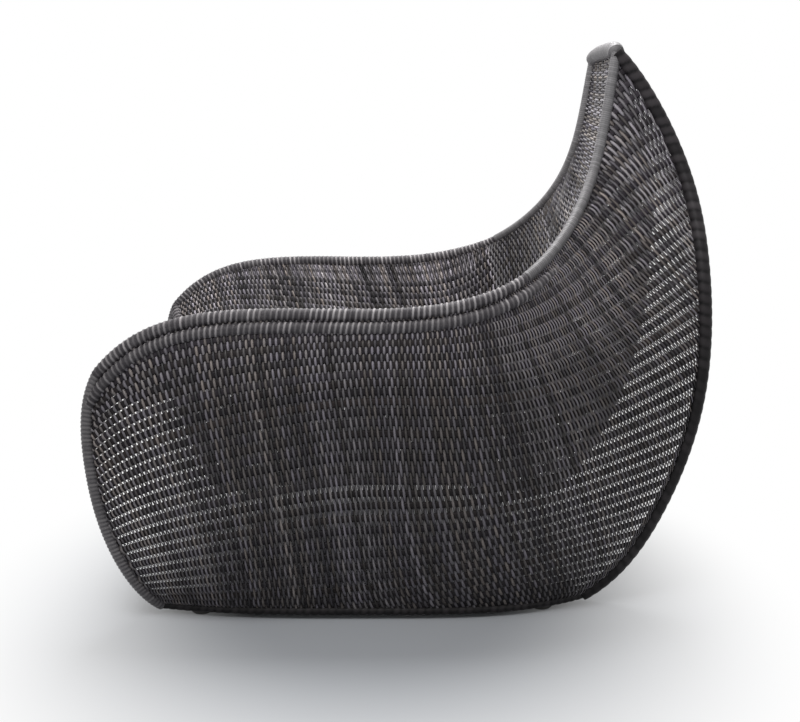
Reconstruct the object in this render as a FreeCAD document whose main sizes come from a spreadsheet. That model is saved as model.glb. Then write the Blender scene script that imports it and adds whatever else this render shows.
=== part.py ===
import FreeCAD, Part
import Sketcher
import math
import os

# A rattan lounge armchair: a woven shell on a frame of bent poles.
# Millimetres, +Z up. The sitter faces -X, so the sitter's left is -Y.
# The origin lies on the floor under the middle of the chair.

V = FreeCAD.Vector
doc = FreeCAD.newDocument("rattan_armchair")
sheet = doc.addObject("Spreadsheet::Sheet", "Sizes")
sheet.Label = "Sizes"

# Driving sizes. A station of a curve has a place along X, a half-width from the middle plane and a height.
SIZES = {
    # ridge of the shell, from the arm's nose over the arm and up the wing to the crest
    "nose_x": -520, "nose_half": 370, "nose_z": 442,
    "arm_rise_x": -460, "arm_rise_half": 375, "arm_rise_z": 517,
    "arm_front_x": -305, "arm_front_half": 375, "arm_front_z": 558,
    "arm_middle_x": -30, "arm_middle_half": 374, "arm_middle_z": 540,
    "arm_rear_x": 214, "arm_rear_half": 378, "arm_rear_z": 570,
    "wing_low_x": 368, "wing_low_half": 135, "wing_low_z": 748,
    "wing_high_x": 380, "wing_high_half": 140, "wing_high_z": 902,
    "crest_x": 394, "crest_half": 130, "crest_z": 991,
    # lower edge of the side
    "base_edge_z": 15,
    "base_toe_x": -430, "base_toe_half": 350,
    "base_front_x": -302, "base_front_half": 383,
    "base_middle_x": -45, "base_middle_half": 377,
    "base_rear_x": 223, "base_rear_half": 381,
    "base_heel_x": 335, "base_heel_half": 306,
    # front edge of the side, from the base to the nose
    "front_toe_x": -457, "front_toe_half": 383, "front_toe_z": 47,
    "front_shin_x": -511, "front_shin_half": 395, "front_shin_z": 141,
    "front_knee_x": -541, "front_knee_half": 390, "front_knee_z": 296,
    "front_brow_x": -542, "front_brow_half": 379, "front_brow_z": 400,
    # rear edge of the side, from the base to the crest
    "rear_heel_x": 399, "rear_heel_half": 310, "rear_heel_z": 55,
    "rear_calf_x": 477, "rear_calf_half": 309, "rear_calf_z": 186,
    "rear_hip_x": 540, "rear_hip_half": 301, "rear_hip_z": 397,
    "rear_waist_x": 537, "rear_waist_half": 266, "rear_waist_z": 624,
    "rear_shoulder_x": 525, "rear_shoulder_half": 135, "rear_shoulder_z": 801,
    "rear_neck_x": 434, "rear_neck_half": 137, "rear_neck_z": 951,
    # middle line of the seat and the back
    "seat_lip_x": -480, "seat_lip_z": 362,
    "seat_front_x": -410, "seat_front_z": 405,
    "seat_middle_x": -230, "seat_middle_z": 378,
    "seat_rear_x": 60, "seat_rear_z": 345,
    "seat_heel_x": 240, "seat_heel_z": 335,
    "back_low_x": 385, "back_low_z": 735,
    "back_high_x": 405, "back_high_z": 890,
    "back_top_x": 398, "back_top_z": 991,
    # woven skins
    "belly": 70,
    "skin_thickness": 9,
    "weave_gap": 1.5,
    # poles
    "front_pole_dia": 22,
    "rear_pole_dia": 26,
    "arm_rail_dia": 24,
    "arm_border_dia": 22,
    "base_rail_dia": 26,
    "crest_rail_dia": 25,
    "seat_rail_dia": 24,
    "rib_dia": 20,
    "bearer_dia": 22,
    "stretcher_dia": 20,
    "fit_gap": 0.3,
    "bend_gap": 1,
    # glides under the base rails
    "glide_dia": 40, "glide_height": 12, "glide_edge": 3,
    "front_glide_x": -358, "rear_glide_x": 258,
    "front_stretcher_x": -300, "rear_stretcher_x": 210,
    "nail_dia": 4, "nail_length": 16,
}
for row, (alias, value) in enumerate(SIZES.items(), start=1):
    sheet.set(f"A{row}", alias)
    sheet.set(f"B{row}", str(value))
    sheet.setAlias(f"B{row}", alias)
doc.recompute()


def size(alias):
    return float(sheet.get(alias))


def bind(item, prop, formula):
    """Bind a property of a document object to the sheet. In a formula, @ stands before each size."""
    item.setExpression(prop, formula.replace("@", "<<Sizes>>."))


def worth(formula):
    """What a formula of sizes comes to."""
    return float(sheet.evalExpression(formula.replace("@", "<<Sizes>>.")))


GAP = size("fit_gap")
BEND_GAP = size("bend_gap")
SKIN = size("skin_thickness")
WEAVE_GAP = size("weave_gap")


# Curves of the shell, as points (x, half-width, z)

def station(name):
    return V(size(name + "_x"), size(name + "_half"), size(name + "_z"))


def base_station(name):
    return V(size(name + "_x"), size(name + "_half"), size("base_edge_z"))


def middle_station(name):
    return V(size(name + "_x"), 0, size(name + "_z"))


def spline(poles):
    """A clamped even cubic B-spline, as a function of a share of its length from 0 to 1."""
    spans = len(poles) - 3
    curve = Part.BSplineCurve()
    mults = [4] + [1] * (spans - 1) + [4]
    curve.buildFromPolesMultsKnots(poles, mults, [float(k) for k in range(spans + 1)], False, 3)
    return lambda share: curve.value(share * spans)


def bezier(heights):
    """A Bezier polynomial of plain numbers."""
    degree = len(heights) - 1
    return lambda t: sum(
        math.comb(degree, i) * t**i * (1 - t) ** (degree - i) * c for i, c in enumerate(heights)
    )


RIDGE = ("nose", "arm_rise", "arm_front", "arm_middle", "arm_rear", "wing_low", "wing_high", "crest")
FRONT = ("front_toe", "front_shin", "front_knee", "front_brow")
REAR = ("rear_heel", "rear_calf", "rear_hip", "rear_waist", "rear_shoulder", "rear_neck")
BASE = ("base_toe", "base_front", "base_middle", "base_rear", "base_heel")
SEAT = ("seat_lip", "seat_front", "seat_middle", "seat_rear", "seat_heel")
BACK = ("back_low", "back_high", "back_top")

toe, heel = base_station("base_toe"), base_station("base_heel")
nose, crest = station("nose"), station("crest")
ridge = spline([station(n) for n in RIDGE])
base = spline([base_station(n) for n in BASE])
front = spline([toe] + [station(n) for n in FRONT] + [nose])
rear = spline([heel] + [station(n) for n in REAR] + [crest])
middle = spline([middle_station(n) for n in SEAT + BACK])

# Section of the side, from the base to the ridge: share of the height, and share of the belly
side_rise = bezier((0, 0.3, 0.75, 0.9, 1))
side_swell = bezier((0, 0.9, 1.1, 0.6, 0))
# How the belly grows from the front edge and dies out towards the crest
belly_run = bezier((0, 1.2, 1.1, 0.75, 0.5, 0))
# Section of the inside, from the ridge to the middle: share of the half-width, and share of the drop
inner_width = bezier((1, 0.93, 0.82, 0.76, 0.5, 0))
inner_drop = bezier((0, 0.08, 0.5, 1, 1, 1))
# Shares of the side's length over which the front and rear edges bend the weave
FRONT_REACH = 0.45
REAR_REACH = 0.65


def ease(t):
    t = min(max(t, 0.0), 1.0)
    return t * t * (3 - 2 * t)


def side_point(u, q):
    """Middle surface of the side: u from the front edge to the rear edge, q from the base to the ridge."""
    rise = side_rise(q)
    point = base(u) * (1 - rise) + ridge(u) * rise
    point += (front(q) - toe * (1 - rise) - nose * rise) * (1 - ease(u / FRONT_REACH))
    point += (rear(q) - heel * (1 - rise) - crest * rise) * ease((u - 1 + REAR_REACH) / REAR_REACH)
    return point + V(0, size("belly") * belly_run(u) * side_swell(q), 0)


def inner_point(u, q):
    """Middle surface of the inside: u from the front edge to the crest, q from ridge to ridge, 0 to 2."""
    half = q if q <= 1 else 2 - q
    top, low = ridge(u), middle(u)
    drop = inner_drop(half)
    width = top.y * inner_width(half)
    point = top * (1 - drop) + low * drop
    return V(point.x, width if q <= 1 else -width, point.z)


STEP = 1e-4


def slope(path, t):
    """Unit tangent of a path of one parameter, also at its ends."""
    low, high = max(t - STEP, 0.0), min(t + STEP, 1.0)
    return (path(high) - path(low)).normalize()


def normal(surface, u, q, q_end):
    """Unit normal of a surface, from differences that stay inside it."""
    u0, u1 = max(u - STEP, 0.0), min(u + STEP, 1.0)
    q0, q1 = max(q - STEP, 0.0), min(q + STEP, q_end)
    along = surface(u1, q) - surface(u0, q)
    across = surface(u, q1) - surface(u, q0)
    return across.cross(along).normalize()


def mirrored(point, side):
    """A point of the shell on the left (-1) or the right (1) of the chair."""
    return V(point.x, side * point.y, point.z)


SIDES = (("left", -1), ("right", 1))


def both(piece):
    """The names of a piece on the left and on the right, each with its side."""
    return [(f"{name}_{piece}", side) for name, side in SIDES]


# Woven skins: a curved sheet of flat cells, with its thickness to both sides of the middle surface

def sheet_solid(rows):
    """A closed solid from rows of (point, unit normal): cells on both faces and along the four edges."""
    outer = [[point + away * (SKIN / 2) for point, away in row] for row in rows]
    inner = [[point - away * (SKIN / 2) for point, away in row] for row in rows]
    strips = [pair for grid in (outer, inner) for pair in zip(grid, grid[1:])]
    strips += [(outer[0], inner[0]), (outer[-1], inner[-1])]
    strips += [([row[end] for row in outer], [row[end] for row in inner]) for end in (0, -1)]
    faces = []
    for first, second in strips:
        for a, b, c, d in zip(first, first[1:], second[1:], second):
            faces += [Part.Face(Part.makePolygon(corners)) for corners in ((a, b, c, a), (a, c, d, a))]
    shell = Part.Shell(faces)
    shell.sewShape()
    solid = Part.Solid(Part.Shell(shell.Faces))
    if solid.Volume < 0:
        solid.reverse()
    return solid


def spread(count, start=0.0, end=1.0):
    return [start + (end - start) * i / (count - 1) for i in range(count)]


def radius(name):
    return size(name + "_dia") / 2


# Trial points on each straight stretch of a path, and the bend in radians below which it counts as straight
TRIALS = 20
LEAST_BEND = 0.1


def stations(path, spans):
    """Shares of a path that divide it evenly by length and by bend together."""
    shares = spread(TRIALS * spans + 1)
    points = [path(t) for t in shares]
    slopes = [slope(path, t) for t in shares]
    lengths = [(b - a).Length for a, b in zip(points, points[1:])]
    bends = [(b - a).Length for a, b in zip(slopes, slopes[1:])]
    per_bend = sum(lengths) / max(sum(bends), LEAST_BEND)
    gone = [0.0]
    for length, bend in zip(lengths, bends):
        gone.append(gone[-1] + length + bend * per_bend)
    marks = [gone[-1] * i / spans for i in range(spans + 1)]
    return [shares[min(range(len(gone)), key=lambda i: abs(gone[i] - mark))] for mark in marks]


def route(path, spans, lead=0.0):
    """The points that a pole bends at along a path, with a straight lead before them."""
    points = [path(t) for t in stations(path, spans)]
    return [points[0] - slope(path, 0.0) * lead] + points if lead else points


def distance_to(point, line):
    """Distance from a point to the nearest stretch of a route."""
    least = math.inf
    for start, end in zip(line, line[1:]):
        run, way = end - start, point - start
        share = min(max(way.dot(run) / run.dot(run), 0.0), 1.0)
        least = min(least, (way - run * share).Length)
    return least


HALVINGS = 18


def halved(low, high, reached):
    """The value between two others at which a test begins to hold, found by halving."""
    for _ in range(HALVINGS):
        value = (low + high) / 2
        low, high = (low, value) if reached(value) else (value, high)
    return high


# How far into a surface an edge of a skin is looked for, as shares of u and q
U_SEARCH = 0.3
Q_SEARCH = 0.5


def edge_u(surface, q, edge, pole_line, distance):
    """The u of a surface that lies a distance from the pole along one of its edges."""
    inside = abs(edge - U_SEARCH)
    return halved(edge, inside, lambda u: distance_to(surface(u, q), pole_line) > distance)


def lip_line(t):
    """Middle of the rail along the front edge, from nose to nose."""
    return inner_point(0.0, 2 * t)


def crest_line(t):
    """Middle of the rail across the top of the back."""
    return inner_point(1.0, 2 * t)


# Straight stretches of each bent pole
SPANS = {
    "front_pole": 9, "rear_pole": 18, "arm_rail": 22, "base_rail": 10, "rib": 9,
    "seat_side_rail": 26, "back_rib": 20, "lip": 12, "hoop": 16, "crest": 2, "bearer": 18,
}
# The edges of the skins follow the poles, led on past the base and the nose
LEAD = 60
RIDGE_SHARES = stations(ridge, SPANS["arm_rail"])
RIDGE_EDGE = route(ridge, SPANS["arm_rail"], LEAD)
FRONT_EDGE, REAR_EDGE = route(front, SPANS["front_pole"], LEAD), route(rear, SPANS["rear_pole"], LEAD)
LIP_ROUTE, CREST_ROUTE = route(lip_line, SPANS["lip"]), route(crest_line, SPANS["crest"])


def below_ridge(surface, u, start, distance):
    """The q of a surface that lies a distance from the ridge, whose own q is the start."""
    inside = abs(start - Q_SEARCH)
    return halved(start, inside, lambda q: distance_to(surface(u, q), RIDGE_EDGE) > distance)


def skin(labels, surface, u_limits, q_limits, counts, q_end=1.0):
    """Skins over part of a surface, between limits of u that follow q and limits of q that follow u."""
    rows = []
    for along in spread(counts[0]):
        row = []
        for across in spread(counts[1]):
            u, q = agreed(u_limits, q_limits, along, across)
            row.append((surface(u, q), normal(surface, u, q, q_end)))
        rows.append(row)
    for label, side in labels:
        panel = doc.addObject("Part::Feature", label)
        panel.Shape = sheet_solid([[(mirrored(p, side), mirrored(n, side)) for p, n in row] for row in rows])


AGREE_TURNS = 3


def agreed(u_limits, q_limits, along, across):
    """The u and q at two shares of the way between limits that depend on each other."""
    u, q = along, 0.0
    for _ in range(AGREE_TURNS):
        low, high = q_limits(u)
        q = low + (high - low) * across
        low, high = u_limits(q)
        u = low + (high - low) * along
    return u, q


# Where the inside is divided: the arm lining ends and the seat begins, and the back begins
LINING_END = 0.58
BACK_START = 0.6
# Where the ribs, with a bearer between each pair, run along the chair, and the back ribs across it
RIB_PLACES = (("front", 0.27), ("rear", 0.48))
BACK_RIB = 0.66
# Distances from the ridge: of the second pole of the arm, and of the skins' edges
BORDER_DROP = radius("arm_rail") + BEND_GAP + radius("arm_border")
SIDE_DROP = BORDER_DROP + radius("arm_border") + WEAVE_GAP
INNER_DROP = radius("arm_rail") + WEAVE_GAP


def border_q(u):
    return below_ridge(side_point, u, 1.0, BORDER_DROP)


def side_u(q):
    first = edge_u(side_point, q, 0.0, FRONT_EDGE, radius("front_pole") + WEAVE_GAP)
    return first, edge_u(side_point, q, 1.0, REAR_EDGE, radius("rear_pole") + WEAVE_GAP)


def side_q(u):
    return 0.0, below_ridge(side_point, u, 1.0, SIDE_DROP)


def seam_u(q):
    """Share of u that is half the seam between the seat and the back."""
    return WEAVE_GAP / 2 * STEP / (inner_point(BACK_START + STEP, q) - inner_point(BACK_START, q)).Length


def seam_q(u):
    """Share of q that is half the seam between the arm lining and the seat."""
    return WEAVE_GAP / 2 * STEP / (inner_point(u, LINING_END + STEP) - inner_point(u, LINING_END)).Length


def seat_u(q):
    first = edge_u(inner_point, q, 0.0, LIP_ROUTE, radius("seat_rail") + WEAVE_GAP)
    return first, BACK_START - seam_u(q)


def back_u(q):
    last = edge_u(inner_point, q, 1.0, CREST_ROUTE, radius("crest_rail") + WEAVE_GAP)
    return BACK_START + seam_u(q), last


def inner_edge(u):
    return below_ridge(inner_point, u, 0.0, INNER_DROP)


def lining_q(u):
    return inner_edge(u), LINING_END - seam_q(u)


def seat_q(u):
    first = LINING_END + seam_q(u)
    return first, 2 - first


def back_q(u):
    first = inner_edge(u)
    return first, 2 - first


# Lines of points along and across each skin
SKIN_POINTS = {
    "side_panel": (21, 15), "arm_lining": (13, 7), "seat_panel": (13, 11), "backrest_panel": (11, 23),
}


def build_skins():
    skin(both("side_panel"), side_point, side_u, side_q, SKIN_POINTS["side_panel"])
    skin(both("arm_lining"), inner_point, seat_u, lining_q, SKIN_POINTS["arm_lining"], 2.0)
    skin([("seat_panel", 1)], inner_point, seat_u, seat_q, SKIN_POINTS["seat_panel"], 2.0)
    skin([("backrest_panel", 1)], inner_point, back_u, back_q, SKIN_POINTS["backrest_panel"], 2.0)


# Poles: a ruled loft through many-sided rings, each set square to the pole's line

POLE_SIDES = 12
SHORT_STRETCH = 0.4
# No pole runs this way at its start, so the first ring can take its turn from it
FIRST_TURN = V(0.3, 0.5, 0.8)


def bent_pole(label, path, shares, dia_alias, ends):
    """A pole along a path of one parameter, bent at shares of it and cut at two others."""
    least = SHORT_STRETCH / len(shares)
    inner = [share for share in shares if ends[0] + least < share < ends[1] - least]
    rings = []
    side = FIRST_TURN
    for share in [ends[0]] + inner + [ends[1]]:
        ring = doc.addObject("Part::RegularPolygon", f"{label}_ring")
        ring.Polygon = POLE_SIDES
        bind(ring, "Circumradius", f"@{dia_alias} / 2")
        along = slope(path, share)
        side = (side - along * side.dot(along)).normalize()
        ring.Placement = FreeCAD.Placement(path(share), FreeCAD.Rotation(side, V(), along, "ZXY"))
        rings.append(ring)
    pole = doc.addObject("Part::Loft", label)
    pole.Sections = rings
    pole.Solid = True
    pole.Ruled = True
    return pole


def straight_pole(label, start, end, dia_alias):
    """A straight pole between two points."""
    pole = doc.addObject("Part::Cylinder", label)
    bind(pole, "Radius", f"@{dia_alias} / 2")
    pole.Height = (end - start).Length
    pole.Placement = FreeCAD.Placement(start, FreeCAD.Rotation(V(0, 0, 1), end - start))
    return pole


RIM_POINTS = 24
END_STEPS = 30


def end_clear(path, share, reach, met):
    """Whether the end face of a pole, cut at a share of its path, keeps clear of what it meets."""
    centre, along = path(share), slope(path, share)
    across = along.cross(V(0, 0, 1) if abs(along.z) < 0.9 else V(1, 0, 0)).normalize()
    upward = along.cross(across)
    turns = [2 * math.pi * i / RIM_POINTS for i in range(RIM_POINTS)]
    rim = [centre + (across * math.cos(a) + upward * math.sin(a)) * reach for a in turns]
    return all(measure(point) >= least for measure, least in met for point in [centre] + rim)


def clear_share(path, inside, end, reach, met):
    """The share of a path, going from inside it to its end, at which its pole stops clear of others."""
    last = inside
    for share in spread(END_STEPS, inside, end):
        if not end_clear(path, share, reach, met):
            return halved(share, last, lambda t: end_clear(path, t, reach, met))
        last = share
    return end


def meeting(path, reach, first, last, start=0.0, end=1.0):
    """Shares of a path between what it meets at both ends, each a list of measures and least distances."""
    inside = (start + end) / 2
    return clear_share(path, inside, start, reach, first), clear_share(path, inside, end, reach, last)


def behind(name):
    """Distance from the middle of a skin to the middle of a pole that lies against its back."""
    return radius(name) + SKIN / 2 + WEAVE_GAP


def border_line(u):
    """Middle of the second pole of the arm, beside the arm rail on the outside."""
    return side_point(u, border_q(u))


BORDER_ROUTE = [border_line(u) for u in RIDGE_SHARES]
BASE_RAIL_Z = size("glide_height") + GAP + radius("base_rail")


def base_line(u):
    """Middle of the base rail, inside the lower edge of the side."""
    along = slope(base, u)
    point = base(u) + V(along.y, -along.x, 0).normalize() * behind("base_rail")
    return V(point.x, point.y, BASE_RAIL_Z)


def outward(u, q):
    return normal(side_point, u, q, 1.0) * SIDE_WAY


def under(u, q):
    return normal(inner_point, u, q, 2.0) * INNER_WAY


# The two normals are turned once, so that one points out of the chair and the other below the seat
SIDE_WAY = 1 if normal(side_point, 0.4, 0.4, 1.0).y > 0 else -1
INNER_WAY = -1 if normal(inner_point, 0.3, 1.0, 2.0).z > 0 else 1


def rib_line(u):
    """Middle of a side rib, which follows the back of the side from the base to the ridge."""
    return lambda q: side_point(u, q) - outward(u, q) * behind("rib")


def seat_side_line(u):
    return inner_point(u, LINING_END) + under(u, LINING_END) * behind("seat_rail")


def section_line(u, drop):
    """A line across the chair below the inside, from one ridge to the other."""
    return lambda t: inner_point(u, 2 * t) + under(u, 2 * t) * drop


def back_rib_line(u):
    return inner_point(u, BACK_RIB) + under(u, BACK_RIB) * behind("rib")


hoop_line = section_line(BACK_START, behind("seat_rail"))
# The bearers pass below the seat side rails
BEARER_DROP = behind("seat_rail") + radius("seat_rail") + 2 * BEND_GAP + radius("bearer")


def beside(line, name):
    """What the end of a pole keeps clear of: another pole, at its radius and the gap from its line."""
    return lambda point: distance_to(point, line), radius(name) + GAP


def side_distance(point):
    """Distance from a point to the middle surface of the side."""
    return (point - SIDE_SURFACE.value(*SIDE_SURFACE.parameter(point))).Length


FRONT_POLE, REAR_POLE = beside(FRONT_EDGE[1:], "front_pole"), beside(REAR_EDGE[1:], "rear_pole")
# The arm rail butts on the upper end of the front pole
NOSE_WAY = slope(front, 1.0)
FRONT_END = (lambda point: (point - nose).dot(NOSE_WAY), GAP)
BASE_RAIL = beside(route(base_line, SPANS["base_rail"]), "base_rail")
ARM_RAIL, ARM_BORDER = beside(RIDGE_EDGE[1:], "arm_rail"), beside(BORDER_ROUTE, "arm_border")
LIP, HOOP = beside(LIP_ROUTE, "seat_rail"), beside(route(hoop_line, SPANS["hoop"]), "seat_rail")
CREST = beside(CREST_ROUTE, "crest_rail")
# The side as one surface through a net of its own points, to measure from
NET_ALONG, NET_ACROSS = 41, 25
SIDE_SURFACE = Part.BSplineSurface()
SIDE_SURFACE.interpolate([[side_point(u, q) for q in spread(NET_ACROSS)] for u in spread(NET_ALONG)])
SIDE_SKIN = (side_distance, SKIN / 2 + WEAVE_GAP)


LINING_POINTS = 12


def lining(u):
    """What the end of a pole keeps clear of: a section of the arm lining."""
    section = [inner_point(u, q) for q in spread(LINING_POINTS, 0.0, LINING_END)]
    return lambda point: distance_to(point, section), SKIN / 2 + WEAVE_GAP


def build_side_frame():
    """Poles of both sides. The lines are worked out on the side where the half-width is positive."""

    def pole(piece, path, bent_as, dia, ends=(0.0, 1.0)):
        shares = RIDGE_SHARES if bent_as == "arm_rail" else stations(path, SPANS[bent_as])
        for label, side in both(piece):
            bent_pole(label, lambda t: mirrored(path(t), side), shares, dia + "_dia", ends)

    pole("front_pole", front, "front_pole", "front_pole")
    pole("rear_pole", rear, "rear_pole", "rear_pole")
    crest_met = [REAR_POLE, CREST]
    rail_ends = meeting(ridge, radius("arm_rail"), [FRONT_END], crest_met)
    pole("arm_rail", ridge, "arm_rail", "arm_rail", rail_ends)
    border_ends = meeting(border_line, radius("arm_border"), [FRONT_POLE, LIP], crest_met)
    pole("arm_border", border_line, "arm_rail", "arm_border", border_ends)
    base_ends = meeting(base_line, radius("base_rail"), [FRONT_POLE], [REAR_POLE])
    pole("base_rail_blank", base_line, "base_rail", "base_rail", base_ends)
    for place, u in RIB_PLACES:
        line = rib_line(u)
        arm = [ARM_RAIL, ARM_BORDER, lining(u)]
        pole(place + "_side_rib", line, "rib", "rib", meeting(line, radius("rib"), [BASE_RAIL], arm))
    seat_ends = meeting(seat_side_line, radius("seat_rail"), [LIP], [HOOP], 0.0, BACK_START)
    pole("seat_side_rail", seat_side_line, "seat_side_rail", "seat_rail", seat_ends)
    back_ends = meeting(back_rib_line, radius("rib"), [HOOP], [CREST], BACK_START, 1.0)
    pole("back_rib", back_rib_line, "back_rib", "rib", back_ends)


CROSS_INSIDE = 0.25


def cross_pole(label, line, spans, name, met):
    """A pole from one side to the other, cut to meet the same pole of both sides."""
    end = clear_share(line, CROSS_INSIDE, 0.0, radius(name), met)
    bent_pole(label, line, stations(line, SPANS[spans]), name + "_dia", (end, 1 - end))


def build_cross_frame():
    """Poles that cross from one side of the chair to the other."""
    cross_pole("seat_front_rail", lip_line, "lip", "seat_rail", [FRONT_POLE, ARM_RAIL])
    cross_pole("seat_rear_hoop", hoop_line, "hoop", "seat_rail", [ARM_RAIL, ARM_BORDER, SIDE_SKIN])
    cross_pole("crest_rail", crest_line, "crest", "crest_rail", [REAR_POLE])
    for place, u in RIB_PLACES:
        rib = beside(route(rib_line(u), SPANS["rib"]), "rib")
        bearer_line = section_line(u, BEARER_DROP)
        cross_pole(place + "_seat_bearer", bearer_line, "bearer", "bearer", [rib, SIDE_SKIN])
    for place in ("front", "rear"):
        foot = base_foot(size(place + "_stretcher_x"))
        start, end = foot, mirrored(foot, -1)
        line = lambda t: start * (1 - t) + end * t
        cut = clear_share(line, CROSS_INSIDE, 0.0, radius("stretcher"), [BASE_RAIL])
        straight_pole(place + "_base_stretcher", line(cut), line(1 - cut), "stretcher_dia")


def base_foot(x):
    """The point of the base rail's line at a place along the chair."""
    return base_line(halved(0.0, 1.0, lambda share: base_line(share).x > x))


# Glides: turned discs, each with a nail that is driven up into the base rail

def turned_body(label, outline):
    """A body turned about its own Z axis from an outline of (radius, height) formulas."""
    body = doc.addObject("PartDesign::Body", label)
    plane = next(f for f in body.Origin.OriginFeatures if f.Role == "XZ_Plane")
    sketch = body.newObject("Sketcher::SketchObject", label + "_outline")
    sketch.AttachmentSupport = [(plane, "")]
    sketch.MapMode = "FlatFace"
    corners = [V(worth(r), worth(z), 0) for r, z in outline]
    count = len(corners)
    for i in range(count):
        sketch.addGeometry(Part.LineSegment(corners[i], corners[(i + 1) % count]), False)
    for i in range(count):
        sketch.addConstraint(Sketcher.Constraint("Coincident", i, 2, (i + 1) % count, 1))
    for i, (r, z) in enumerate(outline):
        fix_corner(sketch, i, "DistanceX", -2, r, corners[i].x)
        fix_corner(sketch, i, "DistanceY", -1, z, corners[i].y)
    turned = body.newObject("PartDesign::Revolution", label + "_turned")
    turned.Profile = sketch
    turned.ReferenceAxis = (sketch, ["V_Axis"])
    turned.Angle = 360
    return body


def fix_corner(sketch, line, kind, axis, formula, value):
    """Hold a corner of an outline on an axis, or at a bound distance from the origin."""
    if value == 0:
        sketch.addConstraint(Sketcher.Constraint("PointOnObject", line, 1, axis))
        return
    index = sketch.addConstraint(Sketcher.Constraint(kind, -1, 1, line, 1, value))
    bind(sketch, f"Constraints[{index}]", formula)


NAIL_TOP = "@glide_height + @nail_length"
GLIDE_OUTLINE = (
    ("0", "0"), ("@glide_dia / 2 - @glide_edge", "0"), ("@glide_dia / 2", "@glide_edge"),
    ("@glide_dia / 2", "@glide_height"), ("@nail_dia / 2", "@glide_height"), ("@nail_dia / 2", NAIL_TOP),
    ("0", NAIL_TOP),
)


def build_glides():
    """Four glides in one group, and the base rails with a hole for each nail."""
    glides = []
    for name, side in SIDES:
        rail = doc.getObject(name + "_base_rail_blank")
        for place in ("front", "rear"):
            x = size(place + "_glide_x")
            spot = FreeCAD.Placement(V(x, side * base_foot(x).y, 0), FreeCAD.Rotation())
            glide = turned_body(f"{name}_{place}_glide", GLIDE_OUTLINE)
            glide.Placement = spot
            glides.append(glide)
            hole = doc.addObject("Part::Cylinder", f"{name}_{place}_nail_hole")
            bind(hole, "Radius", "@nail_dia / 2 + @fit_gap")
            bind(hole, "Height", NAIL_TOP + " + @fit_gap")
            hole.Placement = spot
            cut = doc.addObject("Part::Cut", f"{name}_base_rail_{place}_hole")
            cut.Base, cut.Tool = rail, hole
            rail = cut
        rail.Label = name + "_base_rail"
    group = doc.addObject("Part::Compound", "foot_glides")
    group.Links = glides


PIECES = ["seat_panel", "backrest_panel", "seat_front_rail", "seat_rear_hoop", "crest_rail", "foot_glides"]
SIDE_PIECES = (
    "side_panel", "arm_lining", "front_pole", "rear_pole", "arm_rail", "arm_border", "base_rail",
    "front_side_rib", "rear_side_rib", "seat_side_rail", "back_rib",
)
CROSS_PIECES = ("seat_bearer", "base_stretcher")

build_skins()
build_side_frame()
build_cross_frame()
build_glides()
doc.recompute()

PIECES += [label for piece in SIDE_PIECES for label, side in both(piece)]
PIECES += [f"{place}_{piece}" for place in ("front", "rear") for piece in CROSS_PIECES]
for item in doc.Objects:
    if "Invalid" in item.State or "Error" in item.State:
        raise RuntimeError(f"{item.Label} failed: {item.State}")
shapes = {label: doc.getObjectsByLabel(label)[0].Shape for label in PIECES}
for label, shape in shapes.items():
    if shape.isNull() or not shape.isValid() or not shape.Solids:
        raise RuntimeError(f"{label} has no valid solid")

os.makedirs("parts", exist_ok=True)
for label, shape in shapes.items():
    shape.exportStep(f"parts/{label}.step")
    print(label, len(shape.Solids), round(shape.Volume))
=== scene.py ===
"""Rattan garden armchair: woven cane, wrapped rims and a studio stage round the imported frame."""

import math

import bpy
import numpy as np
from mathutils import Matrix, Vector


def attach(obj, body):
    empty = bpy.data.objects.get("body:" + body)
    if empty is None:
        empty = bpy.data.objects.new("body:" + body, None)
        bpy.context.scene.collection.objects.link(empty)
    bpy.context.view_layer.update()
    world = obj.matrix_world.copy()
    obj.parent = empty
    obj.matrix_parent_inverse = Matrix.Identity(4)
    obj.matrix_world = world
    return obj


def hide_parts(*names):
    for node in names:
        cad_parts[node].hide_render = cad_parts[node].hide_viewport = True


bl_info = {
    "name": "Rattan garden armchair",
    "version": (1, 0, 0),
    "blender": (4, 5, 0),
    "location": "View3D > Sidebar > Armchair",
    "description": "Weaves the cane shell of a garden armchair over its packed pole frame",
    "category": "Add Mesh",
}

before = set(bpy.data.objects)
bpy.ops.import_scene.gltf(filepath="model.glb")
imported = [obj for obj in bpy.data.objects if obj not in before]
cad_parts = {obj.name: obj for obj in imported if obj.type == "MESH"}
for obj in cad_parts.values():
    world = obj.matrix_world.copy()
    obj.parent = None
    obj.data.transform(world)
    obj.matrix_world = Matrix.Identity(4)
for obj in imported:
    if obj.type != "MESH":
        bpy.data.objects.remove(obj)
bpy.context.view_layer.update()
SIDES = {"left": -1.0, "right": 1.0}
ONWARD, ACROSS, UPWARD = (1, 0, 0), (0, 1, 0), (0, 0, 1)
MILLIMETRE = 0.001
PER_METRE = 1000
WHITE = (1, 1, 1, 1)

# Stations of the shell in millimetres: place along the chair, half-width, height.
RIDGE = (
    (-520, 370, 442), (-460, 375, 517), (-305, 375, 558), (-30, 374, 540),
    (214, 378, 570), (368, 135, 748), (380, 140, 902), (394, 130, 991),
)
BASE_EDGE = ((-430, 350, 15), (-302, 383, 15), (-45, 377, 15), (223, 381, 15), (335, 306, 15))
FRONT_EDGE = (
    (-430, 350, 15), (-457, 383, 47), (-511, 395, 141),
    (-541, 390, 296), (-542, 379, 400), (-520, 370, 442),
)
REAR_EDGE = (
    (335, 306, 15), (399, 310, 55), (477, 309, 186), (540, 301, 397),
    (537, 266, 624), (525, 135, 801), (434, 137, 951), (394, 130, 991),
)
MIDDLE_LINE = (
    (-480, 0, 362), (-410, 0, 405), (-230, 0, 378), (60, 0, 345),
    (240, 0, 335), (385, 0, 735), (405, 0, 890), (398, 0, 991),
)
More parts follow.
